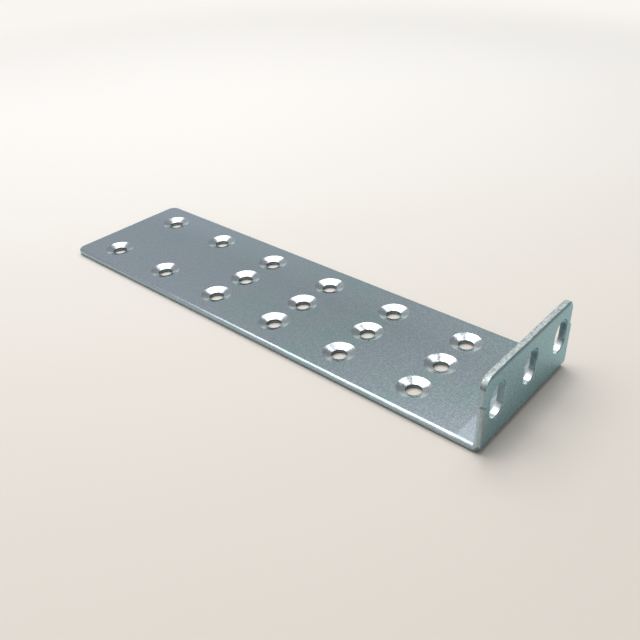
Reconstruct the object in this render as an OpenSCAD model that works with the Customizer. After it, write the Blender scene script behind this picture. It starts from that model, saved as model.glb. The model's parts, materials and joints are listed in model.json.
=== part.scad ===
// Rack mount bracket: one steel sheet, blanked, pierced, countersunk and folded once.
// The plate lies on Z = 0 and screws to the side of the equipment. The flange stands at its +X
// end and screws to the rail of the rack. The origin is the centre of the screw pattern, on the
// face of the plate that meets the equipment.

/* [Sheet] */
// Thickness of the sheet
sheet_t = 2; // [1.6:0.1:3]
// Width of the bracket along the fold
width = 44; // [42:0.1:60]
// Radius inside the fold
bend_r = 0.3; // [0.1:0.1:3]

/* [Screw pattern] */
// Distance between columns of screw holes
column_pitch = 25.4; // [15:0.1:40]
// Number of columns of screw holes
column_count = 6; // [2:1:10]
// How many columns, counted from the flange, have a centre hole too
centre_columns = 4; // [0:1:10]
// Distance from the centre line to each outer row of screw holes
row_offset = 12.7; // [11:0.1:15]
// Distance from the last column to the free end of the plate
end_margin = 12.7; // [8:0.1:30]
// Distance from the first column to the outer face of the flange
fold_margin = 25.4; // [12:0.1:50]

/* [Screw hole] */
// Diameter of the bore
bore_d = 4.5; // [3:0.1:6]
// Diameter of the countersink at the surface
sink_d = 9.5; // [7:0.1:11]
// Depth of the countersink
sink_depth = 0.9; // [0.4:0.1:1.2]

/* [Flange] */
// Height of the flange above the underside of the plate
flange_h = 21.8; // [20:0.1:40]
// Height at which the second cut takes over, working from the outer face
trim_z = 13.8; // [8:0.1:15]
// How far the second cut stands in from the first on each side
trim_step = 0.4; // [0:0.05:0.8]

/* [Rack slots] */
// Number of slots
slot_count = 3; // [1:1:3]
// Distance between the centres of neighbouring slots
slot_pitch = 15.875; // [9:0.005:16]
// Width of a slot, measured along the fold
slot_w = 6.8; // [4:0.1:8]
// Length of a slot, measured up the flange
slot_l = 10; // [8:0.1:12]
// Height of the slot centres above the underside of the plate
slot_z = 12.9; // [10:0.1:14]

/* [Corners and edges] */
// Radius of the four corners, seen square to the sheet
corner_r = 3; // [2:0.1:8]
// Width of the rolled-over band that blanking leaves on the punch side
roll_w = 0.9; // [0.5:0.1:1.5]
// Depth of the rolled-over band where it meets the sheared edge
roll_h = 0.4; // [0.1:0.05:0.5]
// Radius of the edge on the die side
edge_r = 0.2; // [0.05:0.05:0.5]

/* [Hidden] */
$fn = 96;
cut = 1;                                     // how far a cutter runs past the face it opens
zinc = "lightsteelblue";
pattern_half = (column_count - 1) * column_pitch / 2;
plate_end_x = -pattern_half - end_margin;    // free end of the plate
face_x = pattern_half + fold_margin;         // outer face of the flange
fold_r = bend_r + sheet_t;                   // radius outside the fold
fold_x = face_x - fold_r;                    // axis of the fold
bore_l = sheet_t - sink_depth;               // straight wall left below the countersink
roll_arc_r = (roll_w * roll_w + roll_h * roll_h) / (2 * roll_h);

// Half of the sheet's cross-section: half_w wide, die side on Y = 0, punch side on Y = sheet_t.
// The outer edge has the roll-over arc above and the small die-side radius below.
module punched_half(half_w) {
    square([half_w - roll_w, sheet_t]);
    translate([0, edge_r])
        square([half_w, sheet_t - roll_h - edge_r]);
    square([half_w - edge_r, sheet_t / 2]);
    translate([half_w - edge_r, edge_r])
        circle(r = edge_r);
    intersection() {
        translate([half_w - roll_w, sheet_t / 2])
            square([roll_w, sheet_t / 2]);
        translate([half_w - roll_w, sheet_t - roll_arc_r])
            circle(r = roll_arc_r);
    }
}

// The same half, with the roll-over on Y = 0 instead where the cut came from the other side.
module half_section(half_w, from_below) {
    if (from_below)
        translate([0, sheet_t])
            mirror([0, 1])
                punched_half(half_w);
    else
        punched_half(half_w);
}

// The whole cross-section, edge to edge.
module section(w, from_below) {
    half_section(w / 2, from_below);
    mirror([1, 0])
        half_section(w / 2, from_below);
}

// A straight run of sheet along +X, centred on Y.
module strip(length, w, from_below) {
    rotate([90, 0, 90])
        linear_extrude(height = length)
            section(w, from_below);
}

// The end of the sheet, from the centres of its two round corners out to X = corner_r.
module strip_end(w, from_below) {
    corner_y = w / 2 - corner_r;
    for (side = [-1, 1])
        translate([0, side * corner_y, 0])
            rotate_extrude()
                half_section(corner_r, from_below);
    translate([0, corner_y, 0])
        rotate([90, 0, 0])
            linear_extrude(height = 2 * corner_y)
                half_section(corner_r, from_below);
}

// A quarter turn of sheet from level to upright, about an axis along Y through the origin.
module fold(w) {
    rotate([90, 90, 0])
        rotate_extrude(angle = 90)
            translate([fold_r, 0])
                rotate(90)
                    section(w, false);
}

// The flat plate, out to the fold.
module plate() {
    corner_x = plate_end_x + corner_r;
    translate([corner_x, 0, 0])
        mirror([1, 0, 0])
            strip_end(width, false);
    translate([corner_x, 0, 0])
        strip(fold_x - corner_x, width, false);
}

// Stands a piece of sheet on the outer face of the flange, with its start at height z.
module upright(z) {
    translate([face_x, 0, z])
        rotate([0, -90, 0])
            children();
}

// The flange above the fold. Its upper part is a little narrower and cut from its outer face.
module flange() {
    trimmed_w = width - 2 * trim_step;
    corner_z = flange_h - corner_r;
    upright(fold_r)
        strip(trim_z - fold_r, width, false);
    upright(trim_z)
        strip(corner_z - trim_z, trimmed_w, true);
    upright(corner_z)
        strip_end(trimmed_w, true);
}

// The blank after folding, without its holes.
module folded_blank() {
    plate();
    translate([fold_x, 0, fold_r])
        fold(width);
    flange();
}

// Cutter for one screw hole: a straight bore and a shallow cone on the punch side.
module screw_hole() {
    translate([0, 0, -cut])
        cylinder(d = bore_d, h = sheet_t + 2 * cut);
    translate([0, 0, bore_l])
        cylinder(d1 = bore_d, d2 = sink_d, h = sink_depth);
    translate([0, 0, sheet_t])
        cylinder(d = sink_d, h = cut);
}

// Cutters for the whole screw pattern, counted from the flange.
module screw_holes() {
    for (i = [0 : column_count - 1])
        for (row = i < centre_columns ? [-1, 0, 1] : [-1, 1])
            translate([pattern_half - i * column_pitch, row * row_offset, 0])
                screw_hole();
}

// Cutter for one slot, round at both ends, long side up.
module rack_slot() {
    straight = slot_l - slot_w;
    for (end = [-1, 1])
        translate([0, 0, end * straight / 2])
            rotate([0, 90, 0])
                cylinder(d = slot_w, h = sheet_t + 2 * cut);
    translate([0, -slot_w / 2, -straight / 2])
        cube([sheet_t + 2 * cut, slot_w, straight]);
}

// Cutters for the row of slots.
module rack_slots() {
    for (i = [0 : slot_count - 1])
        translate([face_x - sheet_t - cut, (i - (slot_count - 1) / 2) * slot_pitch, slot_z])
            rack_slot();
}

module bracket() {
    color(zinc)
        difference() {
            folded_blank();
            screw_holes();
            rack_slots();
        }
}

bracket();
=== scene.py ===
"""A zinc plated rack mount bracket, folded from one punched sheet, on a pale studio floor.

Run as a script: it registers its operators, makes the stage and the bracket, and ends.
Lengths are in metres. The sheet is worked out flat first, in sheet coordinates:
s runs along it from the free end to the top of the flange, v across it, and w through it
from the face that meets the equipment. One formula then folds it.
"""

import json
import math
from itertools import pairwise

import bpy
import numpy as np
from bpy.props import FloatProperty, FloatVectorProperty, PointerProperty
from mathutils import Matrix, Vector


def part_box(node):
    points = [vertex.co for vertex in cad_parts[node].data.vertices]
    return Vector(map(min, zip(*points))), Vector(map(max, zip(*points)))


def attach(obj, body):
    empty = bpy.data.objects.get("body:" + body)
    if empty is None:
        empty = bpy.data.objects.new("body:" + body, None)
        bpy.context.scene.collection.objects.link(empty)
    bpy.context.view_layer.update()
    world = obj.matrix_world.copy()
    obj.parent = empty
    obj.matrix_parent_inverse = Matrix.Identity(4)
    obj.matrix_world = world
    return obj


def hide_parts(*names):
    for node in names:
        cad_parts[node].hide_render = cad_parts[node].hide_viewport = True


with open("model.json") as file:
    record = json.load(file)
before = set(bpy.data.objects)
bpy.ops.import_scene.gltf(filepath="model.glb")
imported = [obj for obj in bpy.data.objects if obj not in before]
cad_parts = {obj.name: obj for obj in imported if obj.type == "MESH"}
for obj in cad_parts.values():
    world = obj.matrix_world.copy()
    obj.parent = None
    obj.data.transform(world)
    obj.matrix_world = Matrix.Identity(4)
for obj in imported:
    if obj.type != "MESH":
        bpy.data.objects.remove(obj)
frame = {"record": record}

bl_info = {
    "name": "Rack Mount Bracket",
    "version": (1, 0, 0),
    "blender": (4, 5, 0),
    "location": "View3D > Sidebar > Bracket",
    "description": "Makes a folded, zinc plated rack mount bracket and its studio stage",
    "category": "Add Mesh",
}

NODE = "bracket"
MM = 0.001
LOW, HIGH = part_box(NODE)
PATTERNS = [m for m in frame["record"]["mounts"] if m["kind"] == "bolt_pattern"]

# What the mesh carries at each point: the shares of the surface that were drawn in, sheared,
# broken out, or coined smooth. The rest is flat sheet.
ZONES = ("rolled", "cut", "torn", "coined")

# Segments of the grids. Cells that touch share the counts along their common side.
COLUMN_STEPS = 22        # along a column of screw holes
ROW_STEPS = 14           # across one row of screw holes
BLANK_STEPS = 8          # along the blank stretch before the fold
FOLD_STEPS = 12          # round the fold
RISE_STEPS = 5           # up the flange, from the fold to the slots' cells
BELOW_STEPS = 6          # up a slot's cell to the trim
TRIM_STEPS = 4           # over the trim's step
ABOVE_STEPS = 5          # from there to the flange's rounded corners
CORNER_STEPS = 8         # round each corner of the sheet
LANDING_STEPS = 3        # rings of flat sheet between a hole and its cell's edge
ROLL_STEPS = 8           # over the drawn-in band of the edge
ROUND_STEPS = 4          # round each small radius of a profile

CELLS_START = 6.4 * MM       # height on the flange where the slots' cells start
SLUG_HEIGHT = 0.55 * MM      # height where the slug broke away in a screw hole's bore
PRESSED_WIDTH = 5.1 * MM     # width of the strip that the bending tool held
RING_TURNS = 42000.0         # fine rings on the cones, in radians a metre
EDGE_TINT = (0.85, 1.0, 1.0, 1.0)    # of the zinc where light grazes it

# How the torn part of the edge wanders: millimetres up, wavelength, and phase in radians.
WANDER = ((0.05, 17.3 * MM, 0.4), (0.035, 5.9 * MM, 2.1), (0.03, 2.7 * MM, 4.0))

# The table is seen to fade into the pale backdrop between two distances from a place behind
# the bracket. The backdrop itself fades in from the first of two sines above level.
BACKDROP = (0.95, 0.925, 0.885, 1.0)
ROOM = (0.97, 0.99, 1.0, 1.0)
HAZE_MIDDLE = (-0.06, 0.07)
HAZE_REACH = (0.27, 0.43)
BACKDROP_RISE = (0.32, 0.12)

# The lamps on the ceiling: name, centre, size, turn in degrees, radiance.
CEILING = 0.6
LAMPS = (
    ("ceiling_left", (-0.324, -0.036), (0.468, 0.36), 0.0, 1.9),
    ("ceiling_strip", (-0.060, 0.005), (0.060, 0.25), 0.0, 5.2),
    ("ceiling_right", (0.060, -0.063), (0.180, 0.306), 0.0, 2.8),
    ("ceiling_middle", (-0.270, 0.198), (0.540, 0.108), 0.0, 3.8),
    ("ceiling_back", (-0.081, 0.360), (0.378, 0.222), 43.8, 2.0),
    ("ceiling_corner", (0.106, 0.330), (0.060, 0.320), 0.0, 3.0),
    ("ceiling_front", (-0.300, -0.330), (0.260, 0.200), 0.0, 1.3),
)


# ---------------- sizes and colours

def number(name, description, value, **more):
    """A number property."""
    return FloatProperty(name=name, description=description, default=value, **more)


def length(name, description, value):
    """A length property, in metres, from a value in millimetres."""
    return number(name, description, value * MM, precision=5, min=0.0, subtype="DISTANCE",
                  unit="LENGTH")


def share(name, description, value):
    """A property from 0 to 1."""
    return number(name, description, value, min=0.0, max=1.0, subtype="FACTOR")


def angle(name, description, degrees):
    """An angle property, from a value in degrees."""
    return number(name, description, math.radians(degrees), subtype="ANGLE", unit="ROTATION")


def tint(name, description, *rgb):
    """A colour property."""
    return FloatVectorProperty(name=name, description=description, default=rgb, size=3,
                               min=0.0, max=1.0, subtype="COLOR")


class BracketSheet(bpy.types.PropertyGroup):
    """Sizes of the sheet and of what punching leaves on its edges."""

    thickness: length("Thickness", "Thickness of the sheet", 2.0)
    bend: length("Inside bend", "Radius inside the fold", 0.3)
    corner: length("Corner", "Radius of the sheet's corners", 3.0)
    roll_width: length("Roll-over width", "Width of the drawn-in band on the punch side", 0.9)
    roll_depth: length("Roll-over depth", "Depth of the drawn-in band at the edge", 0.35)
    die_edge: length("Die edge", "Radius of the edge on the die side", 0.2)
    break_height: length("Break height", "Height of the broken-out part of a cut face", 0.85)
    break_lean: length("Break lean", "How far the broken-out part of the edge leans in", 0.1)
    trim_height: length("Trim height", "Height on the flange where the second cut starts", 13.8)
    trim_step: length("Trim step", "How far the second cut stands in on each side", 0.4)
    trim_run: length("Trim run", "Height over which the side steps in at the trim", 0.35)
    sink_diameter: length("Countersink", "Diameter of the countersink at the surface", 9.5)
    sink_depth: length("Countersink depth", "Depth of the countersink", 0.9)
    flare: length("Bore flare", "How far the bore opens out where the slug broke away", 0.22)


class BracketFinish(bpy.types.PropertyGroup):
    """Colours and gloss of the zinc plating."""

    zinc: tint("Zinc", "Main colour of the plating", 0.43, 0.495, 0.54)
    green: tint("Green film", "Colour where the clear film is greenish", 0.40, 0.505, 0.52)
    violet: tint("Violet film", "Colour where the clear film is violet", 0.46, 0.49, 0.57)
    outer: tint("Outer film", "Colour of the film on the outer side of the fold", 0.27, 0.395, 0.44)
    pressed: tint("Pressed strip", "Colour of the strip the bending tool held", 0.41, 0.47, 0.515)
    cone: tint("Countersink", "Colour of the coined countersinks", 0.55, 0.58, 0.61)
    torn: tint("Torn edge", "Colour of the broken-out edges", 0.40, 0.45, 0.47)
    # The bore colour is painted shade: a near black tint on the torn part of the bores' walls.
    bore: tint("Bore", "Colour of the bores, where little plating reached", 0.17, 0.20, 0.21)
    top: tint("Trimmed top", "Colour of the rough cut along the top of the flange", 0.53, 0.57, 0.57)
    # The slot wall colour is painted shade inside the slots; the slot end colour is a painted
    # highlight, on the slots' lower ends and on the flange's front corner.
    wall: tint("Slot wall", "Colour of the sheared walls of the slots", 0.21, 0.27, 0.29)
    painted_slot_end_highlight: tint("Slot end", "Colour of the slots' lower ends", 0.72, 0.78, 0.77)
    sheet_roughness: share("Sheet roughness", "Roughness of the rolled faces", 0.27)
    roll_roughness: share("Roll-over roughness", "Roughness of the drawn-in edges", 0.22)
    coined_roughness: share("Countersink roughness", "Roughness of the countersinks", 0.17)
    cut_roughness: share("Cut roughness", "Roughness of the sheared faces", 0.42)
    torn_roughness: share("Torn roughness", "Roughness of the broken-out faces", 0.55)


class BracketStage(bpy.types.PropertyGroup):
    """The floor, the light and the camera."""

    # The two floor colours paint light onto the floor: darker and warmer near the camera, lighter
    # away from it.
    floor: tint("Floor", "Colour of the floor, near the camera", 0.82, 0.757, 0.685)
    painted_light_far_floor: tint("Far floor", "Colour of the floor, away from the camera", 0.94, 0.91, 0.875)
    lamp: number("Lamps", "Brightness of the ceiling lamps", 1.0, min=0.0)
    room: number("Room", "Brightness of the surroundings", 0.42, min=0.0)
    azimuth: angle("Azimuth", "Direction of the camera round the bracket", 40.458)
    elevation: angle("Elevation", "Height of the camera above the floor, as an angle", 34.589)
    roll: angle("Roll", "Roll of the camera", -1.652)
    distance: length("Distance", "Distance from the camera to what it is aimed at", 211.677)
    aim_x: length("Aim along", "Point on the floor that the camera is aimed at, along X", 32.316)
    aim_y: length("Aim across", "Point on the floor that the camera is aimed at, along Y", -1.463)
    focal: number("Focal length", "Focal length on a 36 mm sensor", 40.498, unit="CAMERA")
    shift_x: number("Shift X", "Sideways shift of the lens", -0.04525)
    shift_y: number("Shift Y", "Upward shift of the lens", 0.01932)


# ---------------- the flat sheet

def screw_holes():
    """Centres (x, y) and radius of the screw holes, from the record's patterns."""
    found = [m for m in PATTERNS if m["axis"][2] == -1]
    centres = set()
    for mount in found:
        x, y = mount["pos_m"][:2]
        reach_x = mount["dims"].get("spacing_x_mm", 0) * MM / 2
        reach_y = mount["dims"].get("spacing_y_mm", 0) * MM / 2
        centres |= {(round(x + a * reach_x, 6), round(y + b * reach_y, 6))
                    for a in (-1, 1) for b in (-1, 1)}
    return sorted(centres), found[0]["dims"]["hole_r_mm"] * MM


def rack_slots():
    """Centres (y, z), radius of the ends and length of the rack slots, from the record."""
    found = [m for m in PATTERNS if m["axis"][0] == -1]
    dims = found[0]["dims"]
    centres = sorted((m["pos_m"][1], m["pos_m"][2]) for m in found)
    return centres, dims["hole_r_mm"] * MM, dims["slot_length_mm"] * MM


class Layout:
    """Where the folded sheet lies, and the lines that its grids share.

    All of it comes from the frame's box.
    """

    def __init__(self, sheet):
        self.sheet = sheet
        self.t = sheet.thickness
        self.half = (HIGH.y - LOW.y) / 2
        self.fold_r = sheet.bend + self.t
        self.fold_x = HIGH.x - self.fold_r
        self.fold_s = self.fold_x - LOW.x
        self.fold_length = (sheet.bend + self.t / 2) * math.pi / 2
        self.foot_s = self.fold_s + self.fold_length
        self.top_s = self.s_up(HIGH.z - LOW.z)
        self.trim_s = self.s_up(sheet.trim_height)
        self.inset = 1.2 * MM            # the edge's own strip of grid, on both faces
        self.landing = 0.35 * MM         # ring of flat sheet kept round every hole

        # The inset line: its corners' radius, their s on the flange, its end, its half widths.
        self.corner_r = sheet.corner - self.inset
        self.corner_s = self.top_s - sheet.corner
        self.end_s = self.top_s - self.inset
        self.wall = self.side(0.0) - self.inset
        self.inner = self.side(self.top_s) - self.inset

        self.screws, self.bore_r = screw_holes()
        self.columns = sorted({x for x, _ in self.screws})
        self.rows = sorted({y for _, y in self.screws})
        self.pitch = self.columns[1] - self.columns[0]
        self.slots, self.slot_r, self.slot_length = rack_slots()
        row = (self.rows[1] - self.rows[0]) / 2
        slot = (self.slots[1][0] - self.slots[0][0]) / 2
        self.v_plate = [-self.wall, -row, row, self.wall]
        self.v_slots = [-self.wall, -slot, slot, self.wall]
        self.plate_end = self.s_along(self.columns[-1] + self.pitch / 2)
        self.flange_rows = self.rows_of_flange()
        self.strip_rows = np.concatenate([
            np.linspace(self.plate_end, self.fold_s, BLANK_STEPS + 1)[:-1],
            np.linspace(self.fold_s, self.foot_s, FOLD_STEPS + 1)[:-1],
            np.linspace(self.foot_s, self.flange_rows[0], RISE_STEPS + 1)])

    def rows_of_flange(self):
        """The lines, as s, that cut the slots' cells, with the trim's step among them."""
        run = self.sheet.trim_run
        below = np.linspace(self.s_up(CELLS_START), self.trim_s, BELOW_STEPS + 1)
        step = self.trim_s + run * np.linspace(0, 1, TRIM_STEPS + 1)[1:]
        above = np.linspace(self.trim_s + run, self.corner_s, ABOVE_STEPS + 1)[1:]
        return np.concatenate([below, step, above])

    def s_along(self, x):
        """Sheet coordinate of a place on the plate."""
        return x - LOW.x

    def s_up(self, z):
        """Sheet coordinate of a height on the flange."""
        return self.foot_s + z - self.fold_r

    def trimmed(self, s):
        """0 on the first cut, 1 on the second, smooth between them over the trim's run."""
        part = np.clip((s - self.trim_s) / self.sheet.trim_run, 0.0, 1.0)
        return part * part * (3 - 2 * part)

    def side(self, s):
        """Half the width of the sheet at s, which steps in at the trim."""
        return self.half - self.sheet.trim_step * self.trimmed(s)

    def folded(self, points):
        """(s, v, w) to (x, y, z).

        The turn grows from 0 to a right angle along the fold. A point at w moves on a circle of
        radius fold_r - w about the fold's axis, and what lies past the fold goes straight up.
        """
        s, v, w = points[..., 0], points[..., 1], points[..., 2]
        turn = np.clip((s - self.fold_s) / self.fold_length, 0.0, 1.0) * math.pi / 2
        before = np.minimum(s - self.fold_s, 0.0)
        beyond = np.maximum(s - self.fold_s - self.fold_length, 0.0)
        radius = self.fold_r - w
        x = self.fold_x + before + radius * np.sin(turn)
        z = self.fold_r - radius * np.cos(turn) + beyond
        return np.stack([x, v, z], axis=-1)


# ---------------- profiles of the cut edges

def rounded(corners, radii):
    """A profile through corners, each inner one replaced by an arc that touches both sides.

    The arc of radius r starts r / tan(half the corner's angle) from the corner on either side,
    and its centre is on the line that halves the angle.
    """
    points = [np.array(corners[0])[None]]
    for before, corner, after, radius in zip(corners, corners[1:], corners[2:], radii):
        before, corner, after = (np.array(p) for p in (before, corner, after))
        a = (before - corner) / np.linalg.norm(before - corner)
        b = (after - corner) / np.linalg.norm(after - corner)
        half = math.acos(np.clip(a @ b, -1.0, 1.0)) / 2
        centre = corner + (a + b) / np.linalg.norm(a + b) * radius / math.sin(half)
        start = corner + a * radius / math.tan(half) - centre
        end = corner + b * radius / math.tan(half) - centre
        sweep = math.pi - 2 * half
        part = np.linspace(0.0, 1.0, ROUND_STEPS + 1)[:, None]
        arc = (np.sin((1 - part) * sweep) * start + np.sin(part * sweep) * end) / math.sin(sweep)
        points.append(centre + arc)
    points.append(np.array(corners[-1])[None])
    return np.concatenate(points)


def divided(profile, longest):
    """The profile with every stretch longer than that cut into equal parts."""
    parts = [profile[:1]]
    for start, end in pairwise(profile):
        count = max(1, math.ceil(np.linalg.norm(end - start) / longest))
        parts.append(start + (end - start) * np.linspace(0, 1, count + 1)[1:, None])
    return np.concatenate(parts)


def edge_profile(layout):
    """The sheet's edge as (distance outwards from the inset line, w), from punch to die side.

    The drawn-in band is an arc that touches the punch face, roll_width wide and roll_depth
    deep, so its radius is (width^2 + depth^2) / (2 depth). Below it stands the sheared face,
    then the broken-out face leans in to the die side's small radius.
    """
    sheet, t, inset = layout.sheet, layout.t, layout.inset
    width, depth = sheet.roll_width, sheet.roll_depth
    radius = (width ** 2 + depth ** 2) / (2 * depth)
    turn = np.linspace(0.0, math.asin(width / radius), ROLL_STEPS + 1)[:-1]
    arc = np.stack([inset - width + radius * np.sin(turn), t - radius + radius * np.cos(turn)], -1)
    foot = inset - sheet.break_lean
    corners = [arc[-1], (inset, t - depth), (inset, sheet.break_height), (foot, 0.0), (0.0, 0.0)]
    radii = [0.05 * MM, 0.15 * MM, sheet.die_edge]
    rest = rounded(corners, radii)[1:]
    return divided(np.concatenate([[(0.0, t)], arc, rest]), 0.3 * MM)


def hole_profile(layout):
    """A countersunk hole as (distance from its axis, w), from the punch side down.

    The cone runs from the rim to the bore. The bore is straight down to where the slug broke
    away, and opens out below that.
    """
    sheet, t, bore = layout.sheet, layout.t, layout.bore_r
    rim, ring, foot = sheet.sink_diameter / 2, layout.landing, bore + sheet.flare
    corners = [(rim + ring, t), (rim, t), (bore, t - sheet.sink_depth), (bore, SLUG_HEIGHT),
               (foot, 0.0), (foot + ring, 0.0)]
    radii = [0.12 * MM, 0.1 * MM, 0.1 * MM, 0.05 * MM]
    return divided(rounded(corners, radii), 0.5 * MM)


def slot_profile(layout):
    """A slot's wall as (distance into the sheet from the slot's outline, w), inner face first.

    Near the inner face it leans back, where the slug broke away.
    """
    t, ring = layout.t, layout.landing
    lean, depth = 0.1 * MM, 0.6 * MM
    corners = [(ring + lean, t), (lean, t), (0.0, t - depth), (0.0, 0.0), (ring, 0.0)]
    radii = [0.05 * MM, 0.15 * MM, 0.22 * MM]
    return divided(rounded(corners, radii), 0.3 * MM)


# The shares are in the order of ZONES. A limit stands a few hundredths of a millimetre off the
# profile's corner, so that the corner's arc is in one zone.

def zones_of_edge(profile, layout):
    """Shares of the zones along an edge's profile: drawn in, sheared, then broken out."""
    sheet = layout.sheet
    out = profile[:, 0] > layout.inset - sheet.roll_width - 0.01 * MM
    face = profile[:, 0] > layout.inset - sheet.break_lean - 0.06 * MM
    high = profile[:, 1] > layout.t - sheet.roll_depth - 0.02 * MM
    low = profile[:, 1] < sheet.break_height - 0.05 * MM
    none = np.zeros_like(low)
    return np.stack([out & high, face & ~high & ~low, face & low, none], -1).astype(float)


def zones_of_hole(profile, layout):
    """Shares of the zones along a hole's profile: smooth on the cone and flare, torn between."""
    rim, bore = layout.sheet.sink_diameter / 2, layout.bore_r
    cone = (profile[:, 0] < rim) & (profile[:, 0] > bore + 0.03 * MM)
    cone &= profile[:, 1] > layout.t - layout.sheet.sink_depth
    wall = (profile[:, 0] < bore + layout.sheet.flare + 0.03 * MM) & ~cone
    torn = wall & (profile[:, 1] > SLUG_HEIGHT - 0.1 * MM)
    none = np.zeros_like(wall)
    return np.stack([none, none, torn, cone | (wall & ~torn)], -1).astype(float)


def zones_of_slot(profile, layout):
    """Shares of the zones along a slot's profile: broken out, sheared, then drawn in."""
    wall = profile[:, 0] < 0.12 * MM
    torn = wall & (profile[:, 1] > layout.t - 0.5 * MM)
    rolled = (profile[:, 1] < 0.2 * MM) & (profile[:, 0] < 0.25 * MM)
    none = np.zeros_like(torn)
    return np.stack([rolled, wall & ~torn & ~rolled, torn, none], -1).astype(float)


# ---------------- the sheet's surface

def placed(name, data, matrix=Matrix()):
    """A new object of that data in the scene."""
    thing = bpy.data.objects.new(name, data)
    thing.matrix_world = matrix
    bpy.context.scene.collection.objects.link(thing)
    return thing


class Sheet:
    """Collects grids of the sheet's surface and makes one closed mesh of them."""

    def __init__(self):
        self.points, self.zones, self.rings, self.faces = [], [], [], []
        self.count = 0

    def add(self, grid, zones=0.0, rings=0.0, closed=False):
        """Adds a grid of (s, v, w) points, rows by columns, with the zones' shares at each.

        rings is the distance from the axis of a screw hole, -1 mm round a slot, or 0. Closed
        joins the last column to the first. The faces point towards rows x columns, by the right
        hand rule.
        """
        rows, columns = grid.shape[:2]
        index = np.arange(rows * columns).reshape(rows, columns) + self.count
        if closed:
            index = np.concatenate([index, index[:, :1]], axis=1)
        quads = np.stack([index[:-1, :-1], index[1:, :-1], index[1:, 1:], index[:-1, 1:]], -1)
        self.faces.append(quads.reshape(-1, 4))
        self.points.append(grid.reshape(-1, 3))
        shares = np.broadcast_to(zones, grid.shape[:2] + (len(ZONES),))
        self.zones.append(shares.reshape(-1, len(ZONES)))
        self.rings.append(np.broadcast_to(rings, grid.shape[:2]).reshape(-1))
        self.count += rows * columns

    def merged(self):
        """Points, zones, rings and faces, with the points that grids share made one.

        Points with the same key, in micrometres, are one. An odd fraction is added to the keys,
        so that no line of the layout falls where the rounding turns.
        """
        points = np.concatenate(self.points)
        keys = np.round(points / (0.001 * MM) + 0.2871).astype(np.int64)
        _, first, inverse = np.unique(keys, axis=0, return_index=True, return_inverse=True)
        faces = inverse.reshape(-1)[np.concatenate(self.faces)]
        area = (np.roll(faces, 1, 1) != faces).all(1)
        return (points[first], np.concatenate(self.zones)[first],
                np.concatenate(self.rings)[first], faces[area])


def spread(start, end, steps):
    """Numbers from start to end, both kept, in equal steps."""
    return start + (end - start) * (np.arange(steps + 1) / steps)


def line(start, end, steps):
    """Points from start up to but not including end."""
    return np.stack([spread(a, b, steps)[:-1] for a, b in zip(start, end)], -1)


def directions(first, last, steps):
    """Unit vectors (s, v) from one angle in degrees to another, both kept."""
    turn = np.radians(first + (last - first) * np.arange(steps + 1) / steps)
    return np.stack([np.cos(turn), np.sin(turn)], -1)


def lifted(places, w):
    """Places (s, v) with their height w."""
    return np.concatenate([places, np.broadcast_to(w, places.shape[:-1] + (1,))], -1)


def both_faces(sheet, grid, layout):
    """Adds a grid of (s, v) points to the punch face, and turned over to the other."""
    sheet.add(lifted(grid, layout.t))
    sheet.add(lifted(grid[::-1], 0.0))


def ring_cell(sheet, boundary, opening, outward, profile, zones, rings):
    """The surface of one cell, from its boundary over a hole's profile to its other face.

    boundary is a closed loop of (s, v), and opening a loop with the same count or one centre.
    A ring of the profile is the opening moved by its distance along outward. The flat rings
    between the boundary and the profile are straight blends of the two.
    """
    def flat(ring, w):
        part = np.arange(LANDING_STEPS)[:, None, None] / LANDING_STEPS
        return lifted(boundary + (ring - boundary) * part, w)

    around = opening + outward * profile[:, 0, None, None]
    wall = lifted(around, profile[:, 1, None, None])
    top, under = flat(around[0], profile[0, 1]), flat(around[-1], profile[-1, 1])[::-1]
    grid = np.concatenate([top, wall, under])
    zones = np.pad(zones, ((LANDING_STEPS, LANDING_STEPS), (0, 0)))
    rings = np.pad(rings, LANDING_STEPS, mode="edge")
    sheet.add(grid[:, ::-1], zones[:, None], rings[:, None], closed=True)


def cell_loop(layout, s0, s1, v0, v1, outer):
    """A cell's boundary, counter-clockwise from (s0, v0), its sides cut as its neighbours' are.

    outer is the sign of v at the sheet's corner where the cell holds one, or 0.
    """
    r = layout.corner_r
    low, high = (r if outer == side else 0.0 for side in (-1, 1))
    loop = [
        line((s0 + low, v0), (s1, v0), COLUMN_STEPS),
        line((s1, v0), (s1, v1), ROW_STEPS),
        line((s1, v1), (s0 + high, v1), COLUMN_STEPS),
        line((s0, v1 - high), (s0, v0 + low), ROW_STEPS),
    ]
    if low:
        loop.insert(0, (s0 + r, v0 + r) + r * directions(180, 270, CORNER_STEPS)[:-1])
    if high:
        loop.insert(3, (s0 + r, v1 - r) + r * directions(90, 180, CORNER_STEPS)[:-1])
    return np.concatenate(loop)


def plate_cells(sheet, layout):
    """The plate: one cell for each screw hole, and a blank one where a column has no centre hole.

    Each cell's opening is a circle, cut as evenly as the cell's boundary is counted.
    """
    profile = hole_profile(layout)
    zones = zones_of_hole(profile, layout)
    for x in layout.columns:
        at_end = x == layout.columns[0]
        s0 = layout.inset if at_end else layout.s_along(x - layout.pitch / 2)
        s1 = layout.s_along(x + layout.pitch / 2)
        for y, (v0, v1) in zip(layout.rows, pairwise(layout.v_plate)):
            if (x, y) not in layout.screws:
                cuts = spread(s0, s1, COLUMN_STEPS), spread(v0, v1, ROW_STEPS)
                both_faces(sheet, np.stack(np.meshgrid(*cuts, indexing="ij"), -1), layout)
                continue
            loop = cell_loop(layout, s0, s1, v0, v1, np.sign(y) if at_end else 0)
            count = len(loop)
            turn = -math.pi / 2 + 2 * math.pi * (np.arange(count) - COLUMN_STEPS / 2) / count
            outward = np.stack([np.cos(turn), np.sin(turn)], -1)
            centre = np.array([layout.s_along(x), y])
            ring_cell(sheet, loop, centre, outward, profile, zones, profile[:, 0])


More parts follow.
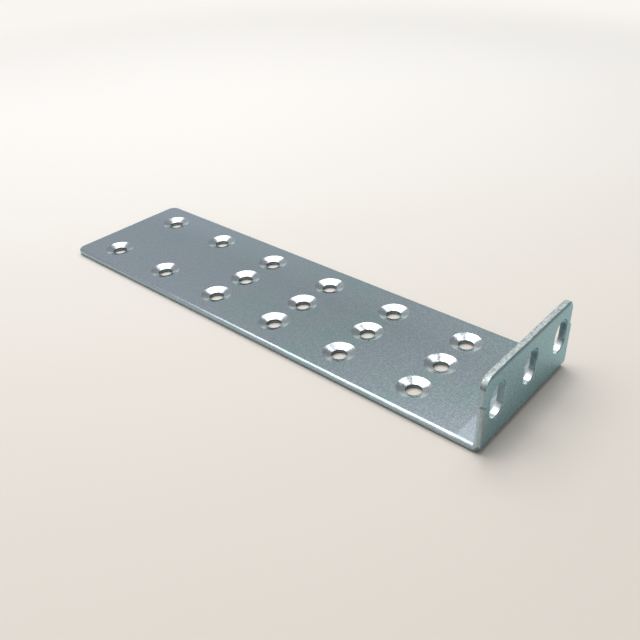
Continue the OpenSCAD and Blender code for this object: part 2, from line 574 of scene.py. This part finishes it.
def fold_strips(sheet, layout):
    """The strip from the last screw holes round the fold and up to the slots' cells.

    Before the fold, its cuts go over from the plate's places to the slots'.
    """
    s = layout.strip_rows[:, None]
    blend = np.clip((s - layout.plate_end) / (layout.fold_s - layout.plate_end), 0, 1)
    for (p0, p1), (q0, q1) in zip(pairwise(layout.v_plate), pairwise(layout.v_slots)):
        v = spread(p0, p1, ROW_STEPS) * (1 - blend) + spread(q0, q1, ROW_STEPS) * blend
        both_faces(sheet, np.stack([np.broadcast_to(s, v.shape), v], -1), layout)


def slot_loop(layout, v0, v1):
    """A slot cell's boundary, from its lower left up, across, down and back.

    At the flange's sides it follows the trim's step and the sheet's rounded corner.
    """
    rows, r = layout.flange_rows, layout.corner_r

    def flank(v):
        if abs(v) < layout.wall:
            return np.array([(s, v) for s in (*rows, layout.end_s)])
        sign = np.sign(v)
        edge = np.stack([rows, sign * (layout.side(rows) - layout.inset)], -1)
        centre = (layout.corner_s, sign * (layout.inner - r))
        return np.concatenate([edge[:-1], centre + r * directions(sign * 90, 0, CORNER_STEPS)])

    left, right = flank(v0), flank(v1)
    across = line(left[-1], right[-1], ROW_STEPS)
    back = line((rows[0], v1), (rows[0], v0), ROW_STEPS)
    return np.concatenate([left[:-1], across, right[:0:-1], back])


def obround(layout, y, z, count):
    """A slot's outline, from its lower left, and its outward directions, count points each.

    Going up the left side, round the top, down the right and round the bottom, as the boundary
    of its cell does. The outline is the centre line's end plus slot_r times the direction. A
    straight side takes 12 % of the points, and the start is turned by 2 % of them, so that the
    cell's flat rings aren't twisted.
    """
    side = max(4, round(count * 0.12))
    arc_top = round((count - 2 * side) / 2)
    arc_low = count - 2 * side - arc_top
    rise = spread(-0.5, 0.5, side)[:-1]
    ends = np.concatenate([rise, np.full(arc_top, 0.5), -rise, np.full(arc_low, -0.5)])
    outward = np.concatenate([directions(*turn)[:-1] for turn in (
        (-90, -90, side), (-90, 90, arc_top), (90, 90, side), (90, 270, arc_low))])
    straight = layout.slot_length - 2 * layout.slot_r
    middle = np.stack([layout.s_up(z) + ends * straight, np.full(count, y)], -1)
    shift = round(count * 0.02)
    return np.roll(middle + layout.slot_r * outward, shift, 0), np.roll(outward, shift, 0)


def slot_cells(sheet, layout):
    """The flange: one cell for each slot, whose opening is two half circles and their sides."""
    profile = slot_profile(layout)
    zones = zones_of_slot(profile, layout)
    rings = np.full(len(profile), -MM)
    for (y, z), (v0, v1) in zip(layout.slots, pairwise(layout.v_slots)):
        loop = slot_loop(layout, v0, v1)
        opening, outward = obround(layout, y, z, len(loop))
        ring_cell(sheet, loop, opening, outward, profile, zones, rings)


def outline(layout):
    """The inset line round the sheet, clockwise seen from the punch face, and its normals.

    It passes through the same points as the cells' outer sides. The normals point outwards.
    """
    r = layout.corner_r
    wall, inner = layout.wall - r, layout.inner - r
    first_s = layout.inset + r
    stops = [first_s] + [layout.s_along(x + layout.pitch / 2) for x in layout.columns]
    plate = [spread(a, b, COLUMN_STEPS)[:-1] for a, b in pairwise(stops)]
    along = np.concatenate([*plate, layout.strip_rows[:-1], layout.flange_rows])
    side = np.stack([along, layout.side(along) - layout.inset], -1)
    flat = np.broadcast_to([0.0, 1.0], side.shape)
    mirror = np.array([1.0, -1.0])

    def arc(centre, first, last):
        out = directions(first, last, CORNER_STEPS)[:-1]
        return centre + r * out, out

    def cross(s, stops_v, sign):
        points = np.concatenate([line((s, a), (s, b), ROW_STEPS) for a, b in pairwise(stops_v)])
        return points, np.broadcast_to([sign, 0.0], points.shape)

    parts = [
        (side[:-1], flat[:-1]),
        arc((layout.corner_s, inner), 90, 0),
        cross(layout.end_s, [inner, *layout.v_slots[2:0:-1], -inner], 1.0),
        arc((layout.corner_s, -inner), 0, -90),
        (side[:0:-1] * mirror, flat[:0:-1] * mirror),
        arc((first_s, -wall), -90, -180),
        cross(layout.inset, [-wall, *layout.v_plate[1:3], wall], -1.0),
        arc((first_s, wall), 180, 90),
    ]
    return np.concatenate([p for p, _ in parts]), np.concatenate([n for _, n in parts])


def edge_strip(sheet, layout):
    """The sheet's edge: its profile carried round the outline.

    Past the trim the profile is turned over, because the second cut came from the other side.
    The height where the face broke away wanders a little along the edge, as a sum of sines.
    """
    path, normals = outline(layout)
    first = edge_profile(layout)
    second = first[::-1] * [1.0, -1.0] + [0.0, layout.t]
    zone = zones_of_edge(first, layout)
    cut = layout.trimmed(path[:, 0])[:, None, None]
    profile = first * (1 - cut) + second * cut
    zones = zone * (1 - cut) + zone[::-1] * cut
    walked = np.concatenate([[0.0], np.cumsum(np.linalg.norm(np.diff(path, axis=0), axis=1))])
    wander = sum(size * np.sin(2 * math.pi * walked / wave + phase)
                 for size, wave, phase in WANDER)
    middle = np.sin(math.pi * np.clip(profile[..., 1] / layout.t, 0, 1)) ** 2
    face = np.clip((profile[..., 0] - layout.inset + 0.3 * MM) / (0.2 * MM), 0, 1)
    w = profile[..., 1] + wander[:, None] * MM * middle * face
    grid = lifted(path[:, None] + normals[:, None] * profile[..., :1], w[..., None])
    sheet.add(np.swapaxes(grid, 0, 1)[::-1], np.swapaxes(zones, 0, 1)[::-1], closed=True)


def sheet_object(layout):
    """The whole bracket as one mesh object, with its sheet coordinates and zones as attributes."""
    sheet = Sheet()
    for surface in (plate_cells, fold_strips, slot_cells, edge_strip):
        surface(sheet, layout)
    points, zones, rings, faces = sheet.merged()

    mesh = bpy.data.meshes.new("folded_sheet")
    mesh.from_pydata(layout.folded(points), [], faces)
    place = mesh.attributes.new("flat_place", "FLOAT_VECTOR", "POINT")
    place.data.foreach_set("vector", points.astype(np.float32).ravel())
    for name, values in zip((*ZONES, "ring"), (*zones.T, rings)):
        attribute = mesh.attributes.new(name, "FLOAT", "POINT")
        attribute.data.foreach_set("value", values.astype(np.float32))
    mesh.polygons.foreach_set("use_smooth", np.ones(len(mesh.polygons), bool))
    mesh.update()
    piece = placed("folded_sheet", mesh)
    piece.modifiers.new("even_normals", "WEIGHTED_NORMAL")
    return piece


# ---------------- shader maths

def pair(operation):
    """An operator and its reflected form, as methods that add a Math node of that operation."""
    return (lambda self, other: self.shader.math(operation, self, other),
            lambda self, other: self.shader.math(operation, other, self))


class Socket:
    """An output socket. The operators + - * / and ** on it add Math nodes."""

    def __init__(self, shader, link):
        self.shader = shader
        self.link = link

    __add__, __radd__ = pair("ADD")
    __sub__, __rsub__ = pair("SUBTRACT")
    __mul__, __rmul__ = pair("MULTIPLY")
    __truediv__, __rtruediv__ = pair("DIVIDE")
    __pow__, __rpow__ = pair("POWER")


class Shader:
    """Builds one node tree."""

    def __init__(self, tree):
        self.tree = tree
        tree.nodes.clear()

    def add(self, kind, settings=None, inputs=None, output=0):
        """A node of that kind: its settings, then its sockets' values or links. Gives a Socket."""
        node = self.tree.nodes.new(kind)
        for name, value in (settings or {}).items():
            setattr(node, name, value)
        for name, value in (inputs or {}).items():
            target = node.inputs[name]
            if isinstance(value, Socket):
                self.tree.links.new(value.link, target)
            else:
                target.default_value = value
        return Socket(self, node.outputs[output]) if len(node.outputs) else node

    def math(self, operation, *values):
        """A Math node of that operation on one or two values."""
        return self.add("ShaderNodeMath", {"operation": operation}, dict(enumerate(values)))

    def attribute(self, name, output="Fac"):
        """One of the piece's own attributes."""
        return self.add("ShaderNodeAttribute", {"attribute_name": name}, output=output)

    def parts(self, vector, names="XYZ"):
        """The named coordinates of a vector."""
        return [self.add("ShaderNodeSeparateXYZ", None, {"Vector": vector}, name)
                for name in names]

    def seen(self):
        """1 for rays from the camera, off metal or through glass, 0 for diffuse light."""
        camera, glossy, through = (self.add("ShaderNodeLightPath", output=name) for name in (
            "Is Camera Ray", "Is Glossy Ray", "Is Transmission Ray"))
        return self.math("MAXIMUM", self.math("MAXIMUM", camera, glossy), through)

    def noise(self, place, scale, detail=2.0, roughness=0.5, stretch=None):
        """Noise of about one feature every 1 / scale metres, from 0 to 1."""
        if stretch:
            place = self.add("ShaderNodeMapping", None, {"Vector": place, "Scale": stretch})
        return self.add("ShaderNodeTexNoise", None, {
            "Vector": place, "Scale": scale, "Detail": detail, "Roughness": roughness})

    def between(self, value, low, high):
        """0 at low, 1 at high, smooth between them."""
        return self.add("ShaderNodeMapRange", {"interpolation_type": "SMOOTHSTEP"}, {
            "Value": value, "From Min": low, "From Max": high}, "Result")

    def step(self, value, mark, low, high):
        """0 at low, 1 at high, both in millimetres from the mark, smooth between them."""
        return self.between(value, mark + low * MM, mark + high * MM)

    def band(self, value, mark, low, start, end, high):
        """1 from start to end, 0 below low and above high, in millimetres from the mark."""
        return self.step(value, mark, low, start) * self.step(value, mark, high, end)

    def blend(self, part, first, second, mode="MIX"):
        """A colour between two, by a part from 0 to 1, or one that the mode makes of them."""
        settings = {"data_type": "RGBA", "blend_type": mode}
        return self.add("ShaderNodeMix", settings, {"Factor": part, 6: first, 7: second}, 2)

    def grey(self, value):
        """The grey of that value, as a colour."""
        inputs = dict.fromkeys(("Red", "Green", "Blue"), value)
        return self.add("ShaderNodeCombineColor", None, inputs)

    def bump(self, height, reach, before=None):
        """A bump of that height field, where one unit of it stands reach metres high."""
        inputs = {"Height": height, "Distance": reach}
        if before is not None:
            inputs["Normal"] = before
        return self.add("ShaderNodeBump", None, inputs, "Normal")


def colour(values):
    """A property's colour with its alpha."""
    return (*values, 1.0)


# ---------------- the zinc finish

class Marks:
    """Where the sheet's zones, the marks of its making and its painted shade and highlights lie, as
    values from 0 to 1.
    """

    def __init__(self, shader, layout):
        between, step, band = shader.between, shader.step, shader.band
        fold, foot, trim, top = layout.fold_s, layout.foot_s, layout.trim_s, layout.top_s

        # What the mesh carries: the place on the flat sheet, the zones and a hole's rings.
        self.place = shader.attribute("flat_place", "Vector")
        self.body = shader.add("ShaderNodeTexCoord", output="Object")
        self.ring = shader.attribute("ring")
        self.rolled, self.cut, self.torn, self.coined = map(shader.attribute, ZONES)
        along, across, through = shader.parts(self.place)
        sheared = self.cut + self.torn

        # The two faces, the flange, and the cuts of the bores, the slots and the flange's top.
        self.inner = step(through, 0.0, 0.9, 1.1)
        self.upright = between(along, fold, foot)
        # The bores' torn walls, which get painted shade.
        self.bore = step(self.ring, 0.0, 0.5, 1.0) * self.torn
        self.slot = step(self.ring, 0.0, -0.2, -0.8) * sheared
        slot_s = layout.s_up(layout.slots[0][1])
        # Where a painted highlight lies on the slots' lower ends.
        self.painted_slot_end_highlight = step(along, slot_s, -2.9, -3.9) * self.upright
        self.top = step(along, top, -1.2, -0.4) * sheared

        # The strip that the bending tool held, the stretch beside it where the sheet rubbed on the
        # tool, and painted shade in a line along the outer side of the fold's foot.
        strip = layout.s_along(HIGH.x - layout.t - PRESSED_WIDTH)
        self.pressed = step(along, strip, -0.15, 0.15) * self.inner * step(along, fold, 0.6, 0.0)
        self.rubbed = band(along, fold, -18.0, -13.0, -7.0, -5.0)
        self.fold_foot_shade = band(along, foot, -2.0, -1.2, -0.6, 0.2) * (1 - self.inner)

        # At the trim and the flange's top: painted shade on the trim's step and along the outer side
        # of the top, and on the front corner a painted highlight with painted shade below it.
        front_corner = step(across, 0.0, -19.6, -20.6) * sheared
        # A painted highlight on the front corner, and painted shade just below it.
        self.painted_corner_highlight = step(along, top, -1.9, -1.3) * front_corner
        self.painted_dent_shade = band(along, top, -3.3, -2.9, -2.4, -2.0) * front_corner
        # Painted shade on the trim's step, and below it painted shade along the outer side of the
        # flange's top.
        self.painted_ledge_shade = (band(along, trim, -0.05, 0.05, 0.2, 0.35) * step(through, 0.0, 1.6, 1.3)
                      * sheared * (1 - self.slot))
        self.painted_lip_shade = (step(along, top, -1.0, -0.4) * step(through, 0.0, 0.5, 0.25)
                    * self.upright)

        # What changes slowly along the plate: violet film at the free end, and towards the flange
        # coarser grain, painted shade at the foot of the cut edge and a painted sheen on the metal,
        # a factor near 1.
        self.free_end = step(along, 0.0, 100.0, 10.0)
        self.coarse = step(along, 0.0, 40.0, 150.0)
        # The sheen is painted light: the metal is made brighter towards the flange and towards the
        # far side.
        self.painted_sheen = (0.95 + step(along, 0.0, 95.0, 150.0) * 0.12
                      + step(across, 0.0, 4.0, 20.0) * (0.14 - self.upright * 0.12))
        # The foot of the torn edges is darkened with painted shade, more towards the flange and none
        # on the flange.
        foot_shade_depth = 0.6 + step(along, 0.0, 60.0, 140.0) * 0.22 - self.upright * 0.6
        self.under = step(through, 0.0, 0.6, 0.1) * self.torn * foot_shade_depth


def film_colour(shader, finish, marks):
    """The tint of the thin film: greenish and violet clouds, with each mark's own tint on top, among
    them painted shade in the bores and slots and painted highlights.
    """
    zinc, violet = colour(finish.zinc), colour(finish.violet)
    cloud = shader.between(shader.noise(marks.body, 45.0, 3.0), 0.42, 0.66)
    patch = shader.between(shader.noise(marks.body, 120.0), 0.5, 0.75)
    smeared = shader.between(shader.noise(marks.place, 800.0, 1.0), 0.5, 0.7)
    film = zinc
    for part, tone in (
        (cloud, colour(finish.green)),
        (patch * 0.4, violet),
        (marks.free_end * 0.6, violet),
        (1 - marks.inner, colour(finish.outer)),
        (marks.pressed, colour(finish.pressed)),
        (marks.coined * 0.8, shader.blend(smeared * 0.4, colour(finish.cone), zinc)),
        (marks.torn, shader.blend(marks.bore, colour(finish.torn), colour(finish.bore))),
        (marks.slot, shader.blend(marks.painted_slot_end_highlight, colour(finish.wall), colour(finish.painted_slot_end_highlight))),
        (marks.top, colour(finish.top)),
        (marks.painted_corner_highlight, colour(finish.painted_slot_end_highlight)),
    ):
        film = shader.blend(part, film, tone)
    return film


def brightness(shader, marks, fleck):
    """What the film's tint is multiplied by: a sandy fleck, painted shade, a painted sheen, and pale
    rub marks.
    """
    contrast = marks.top * 0.28 + (marks.coarse * 0.22 + 0.03)
    sandy = (shader.between(fleck, 0.35, 0.7) - 0.5) * contrast + 1
    shade = (1 - marks.under) * (1 - marks.fold_foot_shade * 0.5) * (1 - marks.painted_lip_shade * 0.35)
    lines = shader.noise(marks.place, 1500.0, 1.0, stretch=(1.0, 0.03, 1.0))
    scratch = shader.between(lines, 0.62, 0.72) * (marks.rubbed * 0.8 + 0.12) * marks.inner
    return (sandy * (1 - marks.painted_ledge_shade * 0.6) * (1 - marks.painted_dent_shade * 0.45) * marks.painted_sheen * shade
            + scratch * 0.25)


def roughness(finish, marks, grain):
    """Each zone's roughness, uneven with the grain, more on the pressed strip and the top."""
    flat_share = 1 - (marks.rolled + marks.cut + marks.torn + marks.coined)
    rough = (flat_share * finish.sheet_roughness + marks.rolled * finish.roll_roughness
             + marks.cut * finish.cut_roughness + marks.torn * finish.torn_roughness
             + marks.coined * finish.coined_roughness - marks.slot * 0.12)
    return rough + (grain - 0.5) * 0.10 + marks.pressed * 0.12 + marks.top * 0.2


def relief(shader, marks, grain, fleck):
    """The normal over the fine relief: one bump on the other, each with its height in metres.

    They are the grain of the rolled faces, the streaks of the sheared ones, the pits of the
    torn ones, and fine rings and shallow waves on the cones.
    """
    peel = shader.noise(marks.body, 300.0)
    sheet_grain = (grain * 0.7 + fleck * 0.3) * (1 - marks.coined - marks.rolled * 0.7) * (
        marks.coarse * 0.5 + 0.5) + peel * 0.5
    streaks = shader.noise(marks.place, 900.0, stretch=(1.0, 1.0, 0.08))
    pits = shader.noise(marks.body, 2600.0, 3.0, 0.7)
    rings = shader.math("SINE", marks.ring * RING_TURNS)
    waves = shader.noise(marks.place, 450.0, 1.0)
    normal = None
    for height, reach in (
        (sheet_grain, 0.000012),
        (streaks * marks.cut, 0.00004),
        (pits * (marks.torn * 0.4 + marks.top * 0.15), 0.00009),
        (rings * marks.coined, 0.0000006),
        (waves * marks.coined, 0.00007),
    ):
        normal = shader.bump(height, reach, normal)
    return normal


def zinc_material(finish, layout):
    """Bright zinc on rolled steel: a cool grey metal with a thin film that shifts in tint.

    The rolled faces have a fine orange-peel grain and faint rub marks. Cut faces are dull and
    streaked, torn ones are coarse, and the coined cones are the smoothest.
    """
    material = bpy.data.materials.new("zinc_plate")
    material.use_nodes = True
    shader = Shader(material.node_tree)
    marks = Marks(shader, layout)
    fleck = shader.noise(marks.body, 1900.0, 2.0, 0.6)
    grain = shader.noise(marks.body, 900.0, 3.0, 0.6)
    bright = shader.grey(brightness(shader, marks, fleck))
    surface = shader.add("ShaderNodeBsdfPrincipled", None, {
        "Base Color": shader.blend(1.0, film_colour(shader, finish, marks), bright, "MULTIPLY"),
        "Metallic": 1.0, "Roughness": roughness(finish, marks, grain),
        "Normal": relief(shader, marks, grain, fleck), "Specular Tint": EDGE_TINT})
    shader.add("ShaderNodeOutputMaterial", None, {"Surface": surface})
    return material


# ---------------- the stage

def horizon(shader, x, y):
    """How bright the backdrop stands in the direction x, y: the least behind the camera."""
    return 0.52 + shader.between(y * 0.6 - x * 0.8, -0.8, 0.5) * 0.48


def floor_material(stage):
    """A pale, matt table top with a very faint mottle and painted light: darker and a little warmer
    near the camera, lighter away from it.

    Far from the bracket it is seen to fade into the pale backdrop.
    """
    material = bpy.data.materials.new("table_top")
    material.use_nodes = True
    shader = Shader(material.node_tree)
    body = shader.add("ShaderNodeTexCoord", output="Object")
    mottle = shader.noise(body, 9.0, 3.0)
    x, y = shader.parts(body, "XY")
    # Painted light: the floor's colour turns lighter away from the camera.
    away = shader.between(y * 0.75 - x, -0.20, 0.30) + (mottle - 0.5) * 0.1
    base = shader.blend(away, colour(stage.floor), colour(stage.painted_light_far_floor))
    surface = shader.add("ShaderNodeBsdfPrincipled", None, {
        "Base Color": base, "Roughness": 0.75, "Specular IOR Level": 0.2})
    middle_x, middle_y = HAZE_MIDDLE
    distance = ((x - middle_x) ** 2 + (y - middle_y) ** 2) ** 0.5
    glow = shader.blend(horizon(shader, x / distance, y / distance), colour((0, 0, 0)), BACKDROP)
    haze = shader.add("ShaderNodeEmission", None, {"Color": glow})
    far = shader.between(distance, *HAZE_REACH) * shader.seen()
    blended = shader.add("ShaderNodeMixShader", None, {0: far, 1: surface, 2: haze})
    shader.add("ShaderNodeOutputMaterial", None, {"Surface": blended})
    return material


def softbox(name, place, size, degrees, radiance):
    """A flat lamp on the ceiling that faces down, turned about the vertical.

    Its power is radiance x pi x area, so that it looks as bright as radiance says.
    """
    lamp = bpy.data.lights.new(name, "AREA")
    lamp.shape = "RECTANGLE"
    lamp.size, lamp.size_y = size
    lamp.energy = radiance * math.pi * size[0] * size[1]
    turn = Matrix.Rotation(math.radians(degrees), 4, "Z")
    placed(name, lamp, Matrix.Translation((*place, CEILING)) @ turn)


def set_camera(stage):
    """The camera: out from its aim along azimuth and elevation, looking back, then rolled."""
    a, e, roll = stage.azimuth, stage.elevation, stage.roll
    back = Vector((math.sin(a) * math.cos(e), -math.cos(a) * math.cos(e), math.sin(e)))
    level = Vector((math.cos(a), math.sin(a), 0.0))
    upward = back.cross(level)
    right = level * math.cos(roll) + upward * math.sin(roll)
    up = upward * math.cos(roll) - level * math.sin(roll)
    data = bpy.data.cameras.new("camera")
    data.sensor_width = 36.0
    data.lens = stage.focal
    data.shift_x, data.shift_y = stage.shift_x, stage.shift_y
    data.clip_start, data.clip_end = 0.01, 20.0
    turn = Matrix((right, up, back)).transposed().to_4x4()
    where = Vector((stage.aim_x, stage.aim_y, 0.0)) + back * stage.distance
    bpy.context.scene.camera = placed("camera", data, Matrix.Translation(where) @ turn)


def set_world(stage):
    """A dim room, a little lighter to the left than at the back, over a pale horizon."""
    world = bpy.data.worlds.new("room")
    world.use_nodes = True
    bpy.context.scene.world = world
    shader = Shader(world.node_tree)
    way = shader.add("ShaderNodeTexCoord", output="Generated")
    x, y, z = shader.parts(way)
    left = shader.between(-1 * x - y * 0.6, -0.5, 0.7)
    light = stage.room * (0.8 + left * 0.45)
    backdrop = shader.between(z, *BACKDROP_RISE) * shader.seen()
    strength = light * (1 - backdrop) + backdrop * horizon(shader, x, y)
    tone = shader.blend(backdrop, ROOM, BACKDROP)
    glow = shader.add("ShaderNodeBackground", None, {"Color": tone, "Strength": strength})
    shader.add("ShaderNodeOutputWorld", None, {"Surface": glow})


# ---------------- operators

class BRACKET_OT_sheet(bpy.types.Operator):
    """Make the folded sheet and give it its zinc finish"""

    bl_idname = "bracket.sheet"
    bl_label = "Make Folded Sheet"
    bl_options = {"REGISTER", "UNDO"}

    def execute(self, context):
        scene = context.scene
        layout = Layout(scene.bracket_sheet)
        piece = sheet_object(layout)
        piece.data.materials.append(zinc_material(scene.bracket_finish, layout))
        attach(piece, "root")
        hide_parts(NODE)
        return {"FINISHED"}


class BRACKET_OT_stage(bpy.types.Operator):
    """Make the camera, the floor, the lamps and the surroundings"""

    bl_idname = "bracket.stage"
    bl_label = "Make Stage"
    bl_options = {"REGISTER", "UNDO"}

    def execute(self, context):
        scene = context.scene
        stage = scene.bracket_stage
        set_camera(stage)
        mesh = bpy.data.meshes.new("floor")
        reach, gap = 4.0, 0.2 * MM
        corners = [(-reach, -reach), (reach, -reach), (reach, reach), (-reach, reach)]
        mesh.from_pydata([(x, y, LOW.z - gap) for x, y in corners], [], [(0, 1, 2, 3)])
        mesh.materials.append(floor_material(stage))
        floor = placed("floor", mesh)
        for name, place, size, degrees, radiance in LAMPS:
            softbox(name, place, size, degrees, radiance * stage.lamp)
        set_world(stage)
        scene.view_settings.view_transform = "Standard"
        return {"FINISHED"}


class BRACKET_PT_panel(bpy.types.Panel):
    """Lists the operators with the sizes and colours that they read"""

    bl_label = "Rack Mount Bracket"
    bl_space_type = "VIEW_3D"
    bl_region_type = "UI"
    bl_category = "Bracket"

    def draw(self, context):
        scene = context.scene
        for operator, group in (("bracket.sheet", scene.bracket_sheet),
                                (None, scene.bracket_finish),
                                ("bracket.stage", scene.bracket_stage)):
            if operator:
                self.layout.operator(operator)
            box = self.layout.box()
            for name in group.__annotations__:
                box.prop(group, name)


SETTINGS = {"bracket_sheet": BracketSheet, "bracket_finish": BracketFinish,
            "bracket_stage": BracketStage}
CLASSES = (*SETTINGS.values(), BRACKET_OT_sheet, BRACKET_OT_stage, BRACKET_PT_panel)


def register():
    """Registers the classes and hangs their settings on the scene."""
    for cls in CLASSES:
        bpy.utils.register_class(cls)
    for name, group in SETTINGS.items():
        setattr(bpy.types.Scene, name, PointerProperty(type=group))


def unregister():
    """Takes the settings and the classes away again."""
    for name in SETTINGS:
        delattr(bpy.types.Scene, name)
    for cls in reversed(CLASSES):
        bpy.utils.unregister_class(cls)


def main():
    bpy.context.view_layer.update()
    register()
    bpy.ops.bracket.stage()
    bpy.ops.bracket.sheet()


if __name__ == "__main__":
    main()
